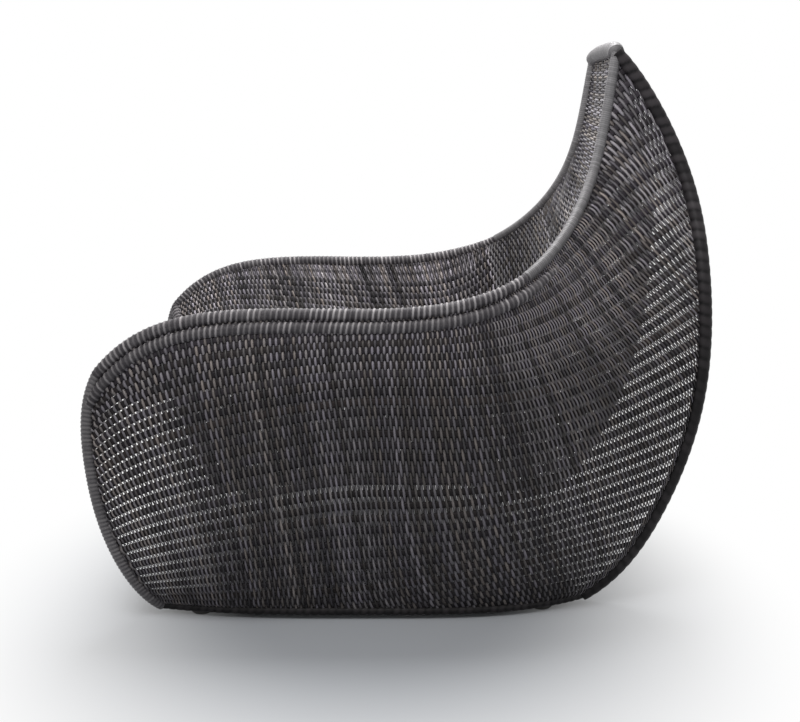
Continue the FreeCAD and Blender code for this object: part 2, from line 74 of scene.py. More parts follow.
# Bezier heights that mix the lines of side and inside, and the belly in millimetres.
SIDE_RISE = (0, 0.3, 0.75, 0.9, 1)
SIDE_SWELL = (0, 0.9, 1.1, 0.6, 0)
BELLY_RUN = (0, 1.2, 1.1, 0.75, 0.5, 0)
BELLY = 70.0
INNER_WIDTH = (1, 0.93, 0.82, 0.76, 0.5, 0)
INNER_DROP = (0, 0.08, 0.5, 1, 1, 1)
# Shares of the side that the front and rear edges draw to themselves.
FRONT_REACH = 0.45
REAR_REACH = 0.65

# Small steps and lengths.
NEAR = 1e-4
ROW_STEP = 1e-3
TINY = 1e-9
# Search for a distance from the ridge: first reach, rounds, limits.
RIDGE_START = 0.05
RIDGE_ROUNDS = 16
RIDGE_LIMITS = (1e-3, 0.6)
# Stations along measured lines.
PATH_STATIONS = 400
LEVEL_STATIONS = 1201
SECTION_STATIONS = (121, 60)
SIDE_EDGE_STATIONS = 401
INNER_EDGE_STATIONS = 301
SPAN_STATIONS = 600
POLE_STATIONS = 300
# Stations along strands, rods and turns, and corners of their rings.
STRAND_STATIONS = 168
SIDE_ROD_STATIONS = 90
INNER_ROD_STATIONS = 80
TURN_STATIONS = 8
STRAND_CORNERS = 4
ROD_CORNERS = 6
WRAP_CORNERS = 14
POLE_CORNERS = 16

# Rows of the side: where the wing starts, and how fast rows are added and started along it.
WING_START = 0.36
COUNT_POWER = 1.8
LEAD_POWER = 3.7
# Side strands: rows in a step, stations in a row, row of the starts, margins at the rims, place taken for
# a missing one, limits of the gaps.
TRACE = 0.25
PER_ROW = 4
SEED_ROW = 13.0
SEED_MARGIN = 0.001
RIM_MARGIN = 0.002
MISSING = 0.5
GAP_LIMITS = (1.5, 11.0)
# Spread of the strands along the wing, and their lean in millimetres for each row.
FAN = 0.45
LEAN = 3.4
# Inside: level of even strands, millimetres to lip and crest and to the ridge, ends of seat and linings.
EVEN_LEVEL = 0.6
END_LEAD = 5.0
INNER_EDGE = 6.0
INNER_PARTS = (0.3, 0.6)
# Where a change sets in, along the chair, the rows or the height, and how far it runs.
FAN_PLACE = (0.5, 0.2)
LEAN_PLACE = (0.2, 0.4)
LEAN_ROWS = (4.0, 10.0)
FRONT_OPEN = (0.04, 0.14)
REAR_OPEN = (0.68, 0.16)
RIM_CLOSE = (0.92, 0.05)
SLIT_TOP = (680.0, 140.0)
RIDGE_LIGHT_ROWS = (6.0, 5.0)
PALE_RODS = (0.66, 0.15)
SINK_PLACE = (0.58, 0.14)
TIGHT_PLACE = (0.55, 0.25)
THIN_PLACE = (0.8, 0.2)

# Slits between the rods: how sharply they open, and the cover where they are closed.
SLIT_SLOPE = 1.5
CLOSED = 0.995
# Painted shade of the weave: tone of strands under a rod, on sides, inside and back, and how it grows over
# the rod.
SIDE_UNDER = 0.25
INNER_UNDER = 0.75
BACK_UNDER = 0.85
WEAVE_SHADE_MEAN = 0.5
WEAVE_SHADE_SLOPE = 0.6
# Rise over the rods of the back, as a share of the full rise.
BACK_LIFT = 0.6
# Painted shade lines along every other rod of seat and linings: how dark, how narrow.
LINING_SHADE_LINES = 0.7
LINE_POWER = 10
# Painted light and shade of the sides: lighter beside the ridge, with painted shade on every other strand
# there, lighter in front, and painted shade at the rear.
RIDGE_PAINTED_LIGHT = 2.0
RIDGE_BAND_SHADE = 0.7
FRONT_LIGHTER = 0.3
REAR_SHADE = 0.3
# Shade of the strands: mean, shares of drift, own chance and light strands, their chance, drift's width.
TONE_MEAN = 0.42
TONE_DRIFT = 0.3
TONE_OWN = 0.2
TONE_LIGHT = 0.4
LIGHT_CHANCE = 0.08
DRIFT_WIDTH = 9
STRAND_SEED = 3
SIDE_ROD_SEED = 11
INNER_ROD_SEED = 17

# Rims in millimetres: drop and sinking of the second roll, bow of the rear rim, arch of the crest.
BORDER_DROP = 24.0
BORDER_SINK = 12.0
REAR_BOW = 6.0
CREST_ARCH = 9.0
# Places along the ridge where the upper roll ends and where the smooth band starts inside it.
ROLL_END = 0.65
BAND_START = 0.62
# Wrapping: groove's share of a turn, least tone of a turn, turns to spare, seeds to a millimetre.
GROOVE_SHARE = 0.78
WRAP_TONE = 0.15
SPARE_TURNS = 3
WRAP_SEED = 10

# Hidden poles in millimetres: radii, distance behind the weave, base rail's height, bearers' drop.
RAIL_RADIUS = 13.0
SEAT_RADIUS = 12.0
BEARER_RADIUS = 11.0
RIB_RADIUS = 10.0
BEHIND = 6.0
RAIL_HEIGHT = 25.3
BEARER_DROP = 43.0
# Places of the hidden poles along the chair and levels across it.
RIB_PLACES = {"front": 0.27, "rear": 0.48}
STRETCHER_PLACES = {"front": -300.0, "rear": 210.0}
LINING_LEVEL = 0.58
BACK_RIB_LEVEL = 0.66
HOOP_PLACE = 0.6
# Step along a pole, fewest steps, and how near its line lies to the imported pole's corners, in radii.
POLE_STEP = 6.0
LEAST_STEPS = 12
POLE_REACH = 1.02
# Knuckles of the poles: distance apart, width, swelling, tone of poles, shade of knuckles.
KNUCKLE_PITCH = 240.0
KNUCKLE_WIDTH = 6.0
KNUCKLE_SWELL = 0.04
POLE_TONE = 0.5
KNUCKLE_SHADE = 0.4

# Stain of the cane: patches and fibres, their shares of the tone, what is taken off, roughness and bump.
PATCHES = {"Scale": 38.0, "Detail": 3.0}
FIBRES = {"Scale": 900.0, "Detail": 2.0}
PATCH_SHARE = 0.5
FIBRE_SHARE = 0.35
STAIN_LOSS = -0.42
ROUGHNESS = {"To Min": 0.36, "To Max": 0.58}
BUMP = {"Strength": 0.25, "Distance": 0.0004}
# Painted top light: height in metres and how much lighter the cane is painted there, from the floor up.
HEIGHT_PAINTED_LIGHT = ((0.0, 1.35), (0.14, 1.4), (0.40, 1.12), (0.52, 1.55), (0.78, 2.8))
# Tint of the strands from warm to cool, and where it is neutral.
WARM = (1.11, 1.02, 0.90, 1)
COOL = (0.98, 0.96, 1.06, 1)
PLAIN_TINT = 0.45
# Sockets of the colour Mix node.
COLOUR_A, COLOUR_B, COLOUR_RESULT = 6, 7, 2
# Finishes: colour and factor of the darkest and the lightest stain, and the gloss.
FINISHES = {
    "woven cane": (("shadow", 1.0), ("bloom", 1.0), 0.5),
    # Inner and back cane are lighter copies of the woven cane: their lighter stain is painted light on the
    # inside faces.
    "inner cane": (("shadow", 1.0), ("bloom", 2.1), 0.3),
    "back cane": (("band", 0.28), ("band", 1.75), 0.25),
    "dark rods": (("rod", 0.4), ("rod", 1.0), 0.12),
    # The inner rods take the pale band colour as painted light, like the back cane.
    "inner rods": (("rod", 0.4), ("band", 1.2), 0.12),
    "rear rim wrapping": (("shadow", 0.4), ("rear_bloom", 1.0), 0.15),
    "arm roll wrapping": (("shadow", 3.5), ("roll_bloom", 0.82), 0.15),
    "border roll wrapping": (("shadow", 3.5), ("roll_bloom", 0.65), 0.15),
    "front rim wrapping": (("shadow", 4.0), ("roll_bloom", 0.32), 0.5),
    "smooth band": (("band", 0.5), ("band", 1.0), 0.5),
    "stained pole": (("pole", 0.6), ("pole", 1.5), 0.5),
    "moulded glide": (("glide", 0.8), ("glide", 1.3), 0.5),
}

# Studio floor in metres: size, cells, roughness, place of the shaded part, distances over which it fades.
FLOOR_SIZE = 60.0
FLOOR_CELLS = 4
FLOOR_ROUGHNESS = 0.9
FLOOR_PART = {"Location": (0.06, 0.25, 0), "Scale": (1.25, 1, 1)}
FLOOR_FADE = {"From Min": 0.28, "From Max": 1.0}
# Soft light: place, aim and size in metres and power in watts of each lamp, and strength of the sky.
LAMPS = {
    "top softbox": ((0.1, 1.0, 2.9), (0, 0, 0.4), 1.6, 75),
    "front softbox": ((-0.9, -1.6, 3.0), (0, 0, 0.6), 1.4, 40),
}
SKY_STRENGTH = 0.22
# Camera: film width and focal length in millimetres, place in metres, angle from straight down in degrees.
FILM_WIDTH = 36.0
FOCAL_LENGTH = 53.4
CAMERA_PLACE = (0, -2.360, 0.8833)
CAMERA_ANGLE = 78.2


def ease(share):
    """Smooth step: three times the square less twice the cube, held between 0 and 1."""
    share = np.clip(share, 0, 1)
    return share * share * (3 - 2 * share)


def fade_in(value, place):
    """Smooth step that sets in at the first number of a place and runs over the second."""
    return ease((value - place[0]) / place[1])


def bezier(heights, share):
    """Bezier height: the sum of each height times its Bernstein weight at the share."""
    degree = len(heights) - 1
    return sum(
        math.comb(degree, k) * share**k * (1 - share) ** (degree - k) * height
        for k, height in enumerate(heights)
    )


def spline(poles, share):
    """Point of a clamped even cubic B-spline: the poles weighted by the knot ratios of three degrees."""
    poles = np.array(poles, float)
    spans = len(poles) - 3
    knots = np.concatenate((np.zeros(3), np.arange(spans + 1), np.full(3, spans))).astype(float)
    place = np.minimum(np.clip(share, 0, 1) * spans, spans - TINY)[..., None]
    weights = ((knots[:-1] <= place) & (place < knots[1:])).astype(float)
    for degree in (1, 2, 3):
        run = knots[degree:] - knots[:-degree]
        scale = np.where(run > 0, 1 / np.maximum(run, NEAR), 0)
        ratio = (place - knots[:-degree]) * scale
        weights = ratio[..., :-1] * weights[..., :-1] + (1 - ratio[..., 1:]) * weights[..., 1:]
    return weights @ poles


def side_point(u, q):
    """Right side of the shell: base edge and ridge mixed by height.

    The mix is drawn to the front and rear edges by smooth steps, and bellied out by two Bezier heights.
    """
    u, q = np.broadcast_arrays(u, q)
    rise = bezier(SIDE_RISE, np.clip(q, 0, 1))[..., None]
    front = 1 - ease(u / FRONT_REACH)[..., None]
    rear = ease((u - 1 + REAR_REACH) / REAR_REACH)[..., None]
    toe, nose = np.array(FRONT_EDGE[0]), np.array(FRONT_EDGE[-1])
    heel, crest = np.array(REAR_EDGE[0]), np.array(REAR_EDGE[-1])
    point = spline(BASE_EDGE, u) * (1 - rise) + spline(RIDGE, u) * rise
    point = point + (spline(FRONT_EDGE, q) - toe * (1 - rise) - nose * rise) * front
    point = point + (spline(REAR_EDGE, q) - heel * (1 - rise) - crest * rise) * rear
    swell = BELLY * bezier(BELLY_RUN, np.clip(u, 0, 1)) * bezier(SIDE_SWELL, np.clip(q, 0, 1))
    return point + swell[..., None] * np.array(ACROSS)


def inner_point(u, q):
    """Inside of the shell: ridge and middle line mixed by the drop.

    The level q runs from the right ridge (0) through the middle (1) to the left ridge (2).
    """
    u, q = np.broadcast_arrays(u, q)
    half = np.clip(np.where(q > 1, 2 - q, q), 0, 1)
    drop = bezier(INNER_DROP, half)[..., None]
    ridge = spline(RIDGE, u)
    point = ridge * (1 - drop) + spline(MIDDLE_LINE, u) * drop
    point[..., 1] = np.where(q > 1, -1, 1) * ridge[..., 1] * bezier(INNER_WIDTH, half)
    return point


def unit(vectors):
    """Each vector divided by its own length."""
    return vectors / np.maximum(np.linalg.norm(vectors, axis=-1, keepdims=True), TINY)


def facing(surface, u, q):
    """Unit normal: cross product of the surface's small steps along its two parameters."""
    step_u = surface(u + NEAR, q) - surface(u - NEAR, q)
    step_q = surface(u, q + NEAR) - surface(u, q - NEAR)
    return unit(np.cross(step_u, step_q))


def along(points):
    """Unit direction of each path: central differences along the stations."""
    return unit(np.gradient(points, axis=-2))


def run_lengths(points):
    """Length of each path up to each station: the sum of its steps."""
    steps = np.linalg.norm(np.diff(points, axis=-2), axis=-1)
    return np.insert(np.cumsum(steps, axis=-1), 0, 0, axis=-1)


def from_ridge(surface, u, drop, ridge_q, inward):
    """Level q at which the surface is a drop away from the ridge, square to it, by repeated proportion."""
    ridge = spline(RIDGE, u)
    run = unit(spline(RIDGE, u + NEAR) - spline(RIDGE, u - NEAR))
    reach = np.full(np.shape(u), RIDGE_START)
    for _ in range(RIDGE_ROUNDS):
        offset = surface(u, ridge_q + inward * reach) - ridge
        offset = offset - (offset * run).sum(-1, keepdims=True) * run
        distance = np.maximum(np.linalg.norm(offset, axis=-1), TINY)
        reach = np.clip(reach * drop / distance, *RIDGE_LIMITS)
    return ridge_q + inward * reach


def tube_rings(centres, out, across_size, out_size, corners):
    """Oval rings square to each path: cosine times the across axis plus sine times the outward axis."""
    run = along(centres)
    out = unit(out - (out * run).sum(-1, keepdims=True) * run)
    across = np.cross(out, run)
    turn = np.arange(corners)[:, None] * 2 * np.pi / corners
    across_size = np.broadcast_to(across_size, centres.shape[:-1])[..., None, None]
    out_size = np.broadcast_to(out_size, centres.shape[:-1])[..., None, None]
    rings = centres[..., None, :] + across_size * np.cos(turn) * across[..., None, :]
    return rings + out_size * np.sin(turn) * out[..., None, :]


def new_object(name, data):
    """New object at the origin, in the scene."""
    item = bpy.data.objects.new(name, data)
    bpy.context.scene.collection.objects.link(item)
    return item


def tube_object(name, rings, side, tone):
    """Closed tubes from rings (tube, station, corner): quads between neighbours, one cap at each end."""
    tubes, stations, corners = rings.shape[:3]
    points = rings.reshape(-1, 3) * (MILLIMETRE, MILLIMETRE * side, MILLIMETRE)
    index = np.arange(len(points)).reshape(tubes, stations, corners)
    if side < 0:
        index = index[:, :, ::-1]
    turned = np.roll(index, -1, axis=2)
    quads = np.stack((index[:, :-1], turned[:, :-1], turned[:, 1:], index[:, 1:]), axis=-1).reshape(-1)
    caps = np.concatenate((index[:, 0, ::-1], index[:, -1])).reshape(-1)
    loops = np.concatenate((quads, caps))
    cap_starts = len(quads) + np.arange(0, len(caps), corners)
    starts = np.concatenate((np.arange(0, len(quads), 4), cap_starts))
    mesh = bpy.data.meshes.new(name)
    mesh.vertices.add(len(points))
    mesh.vertices.foreach_set("co", points.reshape(-1))
    mesh.loops.add(len(loops))
    mesh.loops.foreach_set("vertex_index", loops.astype(np.int32))
    mesh.polygons.add(len(starts))
    mesh.polygons.foreach_set("loop_start", starts.astype(np.int32))
    mesh.update(calc_edges=True)
    mesh.polygons.foreach_set("use_smooth", np.ones(len(starts), bool))
    chance = np.random.default_rng(tubes + stations)
    tint = chance.random((tubes, 1, 1)) if tubes > 1 else PLAIN_TINT
    for label, values in (("strand_tone", tone), ("strand_tint", tint)):
        shade = mesh.attributes.new(label, "FLOAT", "POINT")
        spread = np.broadcast_to(values, rings.shape[:3])
        shade.data.foreach_set("value", spread.reshape(-1).astype(np.float32))
    return new_object(name, mesh)


def strand_tones(count, seed):
    """Seeded shade of each strand between 0 and 1, drifting slowly, with a lighter one here and there."""
    chance = np.random.default_rng(seed)
    steps = chance.standard_normal(count + DRIFT_WIDTH - 1)
    drift = np.convolve(steps, np.full(DRIFT_WIDTH, 1 / DRIFT_WIDTH), "valid")
    light = chance.random(count) < LIGHT_CHANCE
    own = chance.standard_normal(count)
    tones = TONE_MEAN + TONE_DRIFT * drift + TONE_OWN * own + TONE_LIGHT * light
    return np.clip(tones, 0, 1)[:, None, None]


def finish_piece(piece, finish, slot, *nodes):
    """Give a piece its finish and its body, and hide the nodes that it stands for; the slot is not used."""
    piece.data.materials.append(cane_material(finish))
    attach(piece, "root")
    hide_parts(*nodes)


def measure(name, description, default, least):
    """Setting of one size or count, with its least value."""
    return bpy.props.FloatProperty(name=name, description=description, default=default, min=least)


def cover(name, description, default):
    """Setting of one share."""
    return bpy.props.FloatProperty(name=name, description=description, default=default, subtype="FACTOR")


def stain(name, description, default):
    """Setting of one colour."""
    return bpy.props.FloatVectorProperty(
        name=name, description=description, default=default, subtype="COLOR"
    )


class CaneSizes(bpy.types.PropertyGroup):
    """Sizes of the woven cane."""

    strand_pitch: measure("Strand pitch", "Distance between neighbouring strands in millimetres", 4.8, 2)
    strand_cover: cover("Strand cover", "Share of the pitch that a strand covers at a rod", 0.97)
    open_cover: cover("Open cover", "Share of the pitch that it covers between rods", 0.945)
    front_cover: cover("Front cover", "The same share at the open front of the sides", 0.74)
    rear_cover: cover("Rear cover", "The same share at the open rear of the sides", 0.88)
    strand_thickness: measure("Strand thickness", "Thickness of a strand in millimetres", 1.8, 0.5)
    rod_width: measure("Rod width", "Width of the flat rods that the strands weave over", 12.5, 2)
    rod_thickness: measure("Rod thickness", "Thickness of the flat rods in millimetres", 2.4, 1)
    rod_pitch: measure("Rod pitch", "Distance between the rods of the seat in millimetres", 19, 8)
    side_rows: measure("Side rows", "Rows of rods under the arm", 30, 10)
    wing_rows: measure("Wing rows", "Rows of rods at the rear rim", 42, 10)
    lead_rows: measure("Lead rows", "Rows that start at the ridge of the wing", 7.6, 0)
    wrap_pitch: measure("Wrap pitch", "Distance between turns of cane round a rim in millimetres", 9.6, 2)


class CaneColours(bpy.types.PropertyGroup):
    """Colours of the cane and the poles."""

    shadow: stain("Cane shadow", "Darkest stain of the cane", (0.012, 0.011, 0.012))
    bloom: stain("Cane bloom", "Lightest stain of the cane", (0.20, 0.187, 0.195))
    rod: stain("Rod", "Lightest stain of the rods under the strands", (0.024, 0.021, 0.023))
    roll_bloom: stain("Roll bloom", "Lightest stain of the arm rolls", (0.44, 0.415, 0.42))
    rear_bloom: stain("Rear bloom", "Lightest stain of the rear rim", (0.028, 0.025, 0.0265))
    band: stain("Band", "Colour of the smooth band of the wing", (0.13, 0.125, 0.128))
    pole: stain("Pole", "Stain of the bare poles", (0.035, 0.029, 0.026))
    glide: stain("Glide", "Colour of the moulded glides", (0.018, 0.018, 0.019))
    floor: stain("Floor", "Colour of the studio floor", (0.51, 0.53, 0.56))


def add_node(tree, kind, inputs=None, **settings):
    """New shader node with its settings and the values of its inputs."""
    node = tree.nodes.new(kind)
    for label, value in settings.items():
        setattr(node, label, value)
    for entry, value in (inputs or {}).items():
        node.inputs[entry].default_value = value
    return node


def join(tree, *wires):
    """Join shader nodes: each wire names a node, its output, the next node and the input there."""
    for source, output, target, entry in wires:
        tree.links.new(source.outputs[output], target.inputs[entry])


def cane_group():
    """Shader group of stained cane: patches and fibres added to the strand's tone, lightened by height as
    painted top light.
    """
    name = "stained cane"
    if name in bpy.data.node_groups:
        return bpy.data.node_groups[name]
    group = bpy.data.node_groups.new(name, "ShaderNodeTree")
    for entry in ("Shadow", "Bloom"):
        group.interface.new_socket(entry, in_out="INPUT", socket_type="NodeSocketColor")
    group.interface.new_socket("Colour", in_out="OUTPUT", socket_type="NodeSocketColor")
    for value in ("Roughness", "Height"):
        group.interface.new_socket(value, in_out="OUTPUT", socket_type="NodeSocketFloat")
    inside = add_node(group, "NodeGroupInput")
    outside = add_node(group, "NodeGroupOutput")
    place = add_node(group, "ShaderNodeTexCoord")
    height = add_node(group, "ShaderNodeSeparateXYZ")
    tone = add_node(group, "ShaderNodeAttribute", attribute_name="strand_tone")
    tint = add_node(group, "ShaderNodeAttribute", attribute_name="strand_tint")
    patch = add_node(group, "ShaderNodeTexNoise", PATCHES)
    fibre = add_node(group, "ShaderNodeTexNoise", FIBRES)
    blend = add_node(group, "ShaderNodeMath", {1: PATCH_SHARE}, operation="MULTIPLY_ADD")
    speck = add_node(group, "ShaderNodeMath", {1: FIBRE_SHARE}, operation="MULTIPLY_ADD")
    loss = add_node(group, "ShaderNodeMath", {1: STAIN_LOSS}, operation="ADD")
    shade = add_node(group, "ShaderNodeMapRange")
    rough = add_node(group, "ShaderNodeMapRange", ROUGHNESS)
    colour = add_node(group, "ShaderNodeMix", data_type="RGBA")
    tinted = add_node(group, "ShaderNodeMix", {0: 1.0}, data_type="RGBA", blend_type="MULTIPLY")
    painted_top_light = add_node(group, "ShaderNodeVectorMath", operation="SCALE")
    hue = add_node(group, "ShaderNodeValToRGB")
    hue.color_ramp.elements[0].color = WARM
    hue.color_ramp.elements[1].color = COOL
    hue.color_ramp.elements.new(PLAIN_TINT).color = WHITE
    # Painted top light: a ramp by height that scales the colour.
    height_light = add_node(group, "ShaderNodeValToRGB")
    for spot, _ in HEIGHT_PAINTED_LIGHT[1:-1]:
        height_light.color_ramp.elements.new(spot)
    for element, (spot, level) in zip(height_light.color_ramp.elements, HEIGHT_PAINTED_LIGHT):
        element.position = spot
        element.color = (level, level, level, 1)
    join(
        group,
        *((place, "Object", node, "Vector") for node in (patch, fibre, height)),
        (patch, "Fac", blend, 0),
        (tone, "Fac", blend, 2),
        (fibre, "Fac", speck, 0),
        (blend, "Value", speck, 2),
        (speck, "Value", loss, 0),
        (loss, "Value", shade, "Value"),
        (shade, "Result", colour, 0),
        (inside, "Shadow", colour, COLOUR_A),
        (inside, "Bloom", colour, COLOUR_B),
        (colour, COLOUR_RESULT, tinted, COLOUR_A),
        (tint, "Fac", hue, "Fac"),
        (hue, "Color", tinted, COLOUR_B),
        (tinted, COLOUR_RESULT, painted_top_light, 0),
        (height, "Z", height_light, "Fac"),
        (height_light, "Color", painted_top_light, "Scale"),
        (painted_top_light, "Vector", outside, "Colour"),
        (fibre, "Fac", rough, "Value"),
        (rough, "Result", outside, "Roughness"),
        (fibre, "Fac", outside, "Height"),
    )
    return group


def cane_material(name):
    """Material of one finish: the shared group drives colour, roughness and a fine bump."""
    if name in bpy.data.materials:
        return bpy.data.materials[name]
    shadow, bloom, gloss = FINISHES[name]
    colours = bpy.context.scene.cane_colours
    material = bpy.data.materials.new(name)
    material.use_nodes = True
    tree = material.node_tree
    shader = tree.nodes["Principled BSDF"]
    shader.inputs["Specular IOR Level"].default_value = gloss
    cane = add_node(tree, "ShaderNodeGroup", node_tree=cane_group())
    for entry, (source, factor) in (("Shadow", shadow), ("Bloom", bloom)):
        channels = [factor * channel for channel in getattr(colours, source)]
        cane.inputs[entry].default_value = (*channels, 1)
    bump = add_node(tree, "ShaderNodeBump", BUMP)
    join(
        tree,
        (cane, "Colour", shader, "Base Color"),
        (cane, "Roughness", shader, "Roughness"),
        (cane, "Height", bump, "Height"),
        (bump, "Normal", shader, "Normal"),
    )
    return material


def wing_share(u):
    """Share of the way from the middle of the arm to the rear rim."""
    return np.clip((u - WING_START) / (1 - WING_START), 0, 1)


def side_row_count(u, sizes):
    """Rows of rods from ridge to base: constant under the arm, then growing by a power of the way."""
    return sizes.side_rows + (sizes.wing_rows - sizes.side_rows) * wing_share(u) ** COUNT_POWER


def row_lead(u, sizes):
    """Rows that start at the wing's ridge above row zero, by a power of the way to the rear rim."""
    return sizes.lead_rows * wing_share(u) ** LEAD_POWER


def row_level(u, row, sizes):
    """Level q of a row of the side: its share of the rows, counted down from the ridge."""
    return 1 - (row + row_lead(u, sizes)) / side_row_count(u, sizes)


def row_point(u, row, sizes):
    """Point of the side on a row."""
    return side_point(u, row_level(u, row, sizes))


def row_run(u, row, sizes):
    """Step along a row for a change of u, by central difference."""
    return (row_point(u + ROW_STEP, row, sizes) - row_point(u - ROW_STEP, row, sizes)) / (2 * ROW_STEP)


def rim_run(u, row, sizes):
    """Step along a row, taken a margin inside the front and rear rims."""
    return row_run(np.clip(u, RIM_MARGIN, 1 - RIM_MARGIN), row, sizes)


def row_drift(u, row, sizes):
    """Change of u for each row that keeps a strand square to the upper rows, and leans it below them."""
    along_row = row_run(u, row, sizes)
    down = (row_point(u, row + ROW_STEP, sizes) - row_point(u, row - ROW_STEP, sizes)) / (2 * ROW_STEP)
    square = -(along_row * down).sum(-1) / (along_row * along_row).sum(-1)
    lean = fade_in(u, LEAN_PLACE) * fade_in(row, LEAN_ROWS)
    return square + LEAN * lean / np.linalg.norm(along_row, axis=-1)


def strand_seeds(sizes):
    """Even starts of the strands up the front rim, along one row and up the rear rim, a pitch apart."""
    climb = np.linspace(0, 1, PATH_STATIONS)
    level = np.ones(PATH_STATIONS)
    front_rows = side_row_count(np.zeros(1), sizes)[0]
    u = np.concatenate((0 * level, climb, level))
    lower = front_rows + (SEED_ROW - front_rows) * climb
    upper = SEED_ROW - (SEED_ROW + sizes.lead_rows) * climb
    row = np.concatenate((lower, SEED_ROW * level, upper))
    points = row_point(u, row, sizes)
    across = unit(rim_run(u, row, sizes))
    width = np.abs((np.diff(points, axis=0) * across[1:]).sum(-1))
    width = width * (1 + FAN * fade_in(u[1:], FAN_PLACE))
    gone = np.insert(np.cumsum(width), 0, 0)
    count = int(gone[-1] / sizes.strand_pitch)
    marks = (np.arange(count) + 0.5) * gone[-1] / count
    return np.interp(marks, gone, u), np.interp(marks, gone, row)


def strand_paths(sizes):
    """Share u of every strand on one scale of rows: each start is followed up and down by its drift."""
    seed_u, seed_row = strand_seeds(sizes)
    rows = np.arange(-math.ceil(sizes.lead_rows), sizes.wing_rows + TRACE, TRACE)
    reach = len(rows)
    trace_u = np.full((len(seed_u), 2 * reach + 1), np.nan)
    trace_row = seed_row[:, None] + TRACE * np.arange(-reach, reach + 1)
    for way in (1, -1):
        u = np.clip(seed_u, SEED_MARGIN, 1 - SEED_MARGIN)
        for step in range(reach + 1):
            row = trace_row[:, reach + way * step]
            level = row_level(np.clip(u, 0, 1), row, sizes)
            held = (u >= 0) & (u <= 1) & (level >= 0) & (level <= 1)
            u = np.where(held, u, np.nan)
            trace_u[:, reach + way * step] = u
            safe = np.nan_to_num(u, nan=MISSING)
            middle = safe + way * TRACE / 2 * row_drift(safe, row, sizes)
            u = u + way * TRACE * row_drift(middle, row + way * TRACE / 2, sizes)
    grids = []
    for shares, levels in zip(trace_u, trace_row):
        held = ~np.isnan(shares)
        grids.append(np.interp(rows, levels[held], shares[held], left=np.nan, right=np.nan))
    return rows, np.array(grids)


def strand_gaps(rows, paths, sizes):
    """Distance from each strand to its neighbours along the row: the mean of both, or the only one."""
    step = np.abs(np.diff(paths, axis=0))
    lone = np.full((1, len(rows)), np.nan)
    before, after = np.concatenate((lone, step)), np.concatenate((step, lone))
    both = np.where(np.isnan(before), after, np.where(np.isnan(after), before, (before + after) / 2))
    run = rim_run(np.nan_to_num(paths, nan=MISSING), rows[None], sizes)
    gaps = both * np.linalg.norm(run, axis=-1)
    return np.clip(np.nan_to_num(gaps, nan=sizes.strand_pitch), *GAP_LIMITS)


def read_along(table, place):
    """Value of each line of a table at places between its columns, in proportion."""
    low = np.clip(np.floor(place).astype(int), 0, table.shape[1] - 2)
    share = place - low
    before, after = np.take_along_axis(table, low, 1), np.take_along_axis(table, low + 1, 1)
    return before * (1 - share) + after * share


def woven(name, side, ground, out, gap, row, number, open_cover, under, painted_shading, lift, sizes):
    """Strands over the ground: offset by the cosine of the row, slit and paired by its squared sine."""
    between = ease(SLIT_SLOPE * np.sin(np.pi * row) ** 2)
    share = sizes.strand_cover + (open_cover - sizes.strand_cover) * between
    across = np.cross(out, along(ground))
    pull = np.where(number % 2 == 0, 1, -1) * gap * (1 - open_cover) / 2 * between
    passing = np.cos(np.pi * (row + number))
    rise = lift * (sizes.rod_thickness + sizes.strand_thickness) / 2
    centres = ground + (rise * passing)[..., None] * out + pull[..., None] * across
    rings = tube_rings(centres, out, gap * share / 2, sizes.strand_thickness / 2, STRAND_CORNERS)
    # Painted shade: strands are darker where they pass under a rod, times the painted light and shade
    # passed in.
    weave_shade = painted_shading * (under + (1 - under) * ease(WEAVE_SHADE_MEAN + WEAVE_SHADE_SLOPE * passing))
    tones = strand_tones(len(ground), int(number[0, 0]) + STRAND_SEED)
    return tube_object(name, rings, side, tones * weave_shade[..., None])


def side_strands(name, side, rows, paths, gaps, first, sizes):
    """Strands of the side on their paths, slit at the open front and rear, with painted light beside the
    ridge.
    """
    held = ~np.isnan(paths)
    start = held.argmax(1)
    end = paths.shape[1] - 1 - held[:, ::-1].argmax(1)
    stations = int((end - start).max() * TRACE * PER_ROW) + 1
    place = start[:, None] + (end - start)[:, None] * np.linspace(0, 1, stations)
    row = rows[0] + place * TRACE
    u = np.clip(read_along(np.where(held, paths, 0), place), 0, 1)
    number = first + np.arange(len(paths))[:, None]
    ground = row_point(u, row, sizes)
    slant = np.cross(unit(rim_run(u, row, sizes)), along(ground))
    gap = read_along(gaps, place) * np.linalg.norm(slant, axis=-1)
    out = -facing(side_point, u, row_level(u, row, sizes))
    front = 1 - fade_in(u, FRONT_OPEN)
    rear = fade_in(u, REAR_OPEN) * (1 - fade_in(u, RIM_CLOSE))
    open_cover = sizes.open_cover + (sizes.front_cover - sizes.open_cover) * front
    open_cover = open_cover + (sizes.rear_cover - sizes.open_cover) * rear
    open_cover = open_cover + (CLOSED - open_cover) * fade_in(ground[..., 2], SLIT_TOP)
    # Painted light beside the ridge, painted shade on every other strand there, lighter in front, painted
    # shade at the rear.
    painted_top_light = 1 - fade_in(row + row_lead(u, sizes), RIDGE_LIGHT_ROWS)
    painted_shading = (1 + RIDGE_PAINTED_LIGHT * painted_top_light) * (1 - RIDGE_BAND_SHADE * painted_top_light * (number % 2))
    painted_shading = painted_shading * (1 + FRONT_LIGHTER * front - REAR_SHADE * rear)
    return woven(name, side, ground, out, gap, row, number, open_cover, SIDE_UNDER, painted_shading, 1.0, sizes)


def flat_rods(name, side, surface, share, level, tone, sizes):
    """Rods along a surface: flat oval rings that face outwards."""
    out = -facing(surface, share, level)
    width, thickness = sizes.rod_width / 2, sizes.rod_thickness / 2
    rings = tube_rings(surface(share, level), out, width, thickness, ROD_CORNERS)
    return tube_object(name, rings, side, tone)


